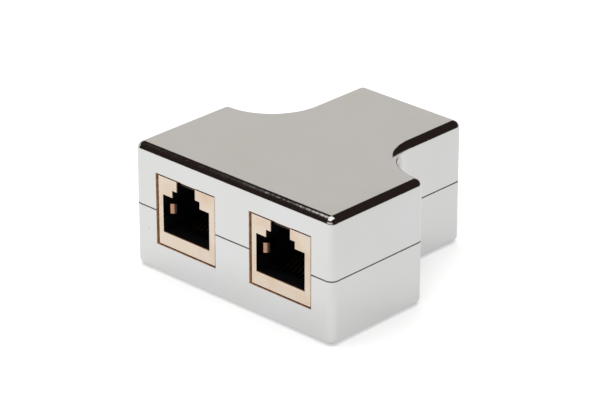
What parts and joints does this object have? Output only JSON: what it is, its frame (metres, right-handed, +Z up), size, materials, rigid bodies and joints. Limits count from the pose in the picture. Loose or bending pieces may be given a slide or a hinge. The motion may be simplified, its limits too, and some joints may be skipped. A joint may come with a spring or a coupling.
{
  "type": "shielded modular network t-adapter",
  "caption": "T-shaped shielded network adapter with modular sockets side by side in the wide front and a socket at the neck's end, in a split metallised housing.",
  "frame": {"origin": "centre of the footprint, on the surface it stands on", "axes": "+X across the wide front, +Y from the side-by-side sockets towards the neck, +Z up"},
  "size_m": [0.05, 0.0492, 0.0252],
  "materials": {
    "metallised_plastic": "gloss",
    "board_laminate": "satin",
    "shield_sheet": "satin",
    "black_plastic": "matte",
    "gold_plating": "polished"
  },
  "bodies": {
    "root": {"upper_housing": "metallised_plastic", "lower_housing": "metallised_plastic", "circuit_board": "board_laminate", "front_left_shield": "shield_sheet", "front_left_body": "black_plastic", "front_left_carrier": "black_plastic", "front_left_contact_1": "gold_plating", "front_left_contact_2": "gold_plating", "front_left_contact_3": "gold_plating", "front_left_contact_4": "gold_plating", "front_left_contact_5": "gold_plating", "front_left_contact_6": "gold_plating", "front_left_contact_7": "gold_plating", "front_left_contact_8": "gold_plating", "front_right_shield": "shield_sheet", "front_right_body": "black_plastic", "front_right_carrier": "black_plastic", "front_right_contact_1": "gold_plating", "front_right_contact_2": "gold_plating", "front_right_contact_3": "gold_plating", "front_right_contact_4": "gold_plating", "front_right_contact_5": "gold_plating", "front_right_contact_6": "gold_plating", "front_right_contact_7": "gold_plating", "front_right_contact_8": "gold_plating", "rear_shield": "shield_sheet", "rear_body": "black_plastic", "rear_carrier": "black_plastic", "rear_contact_1": "gold_plating", "rear_contact_2": "gold_plating", "rear_contact_3": "gold_plating", "rear_contact_4": "gold_plating", "rear_contact_5": "gold_plating", "rear_contact_6": "gold_plating", "rear_contact_7": "gold_plating", "rear_contact_8": "gold_plating"}
  },
  "joints": []
}
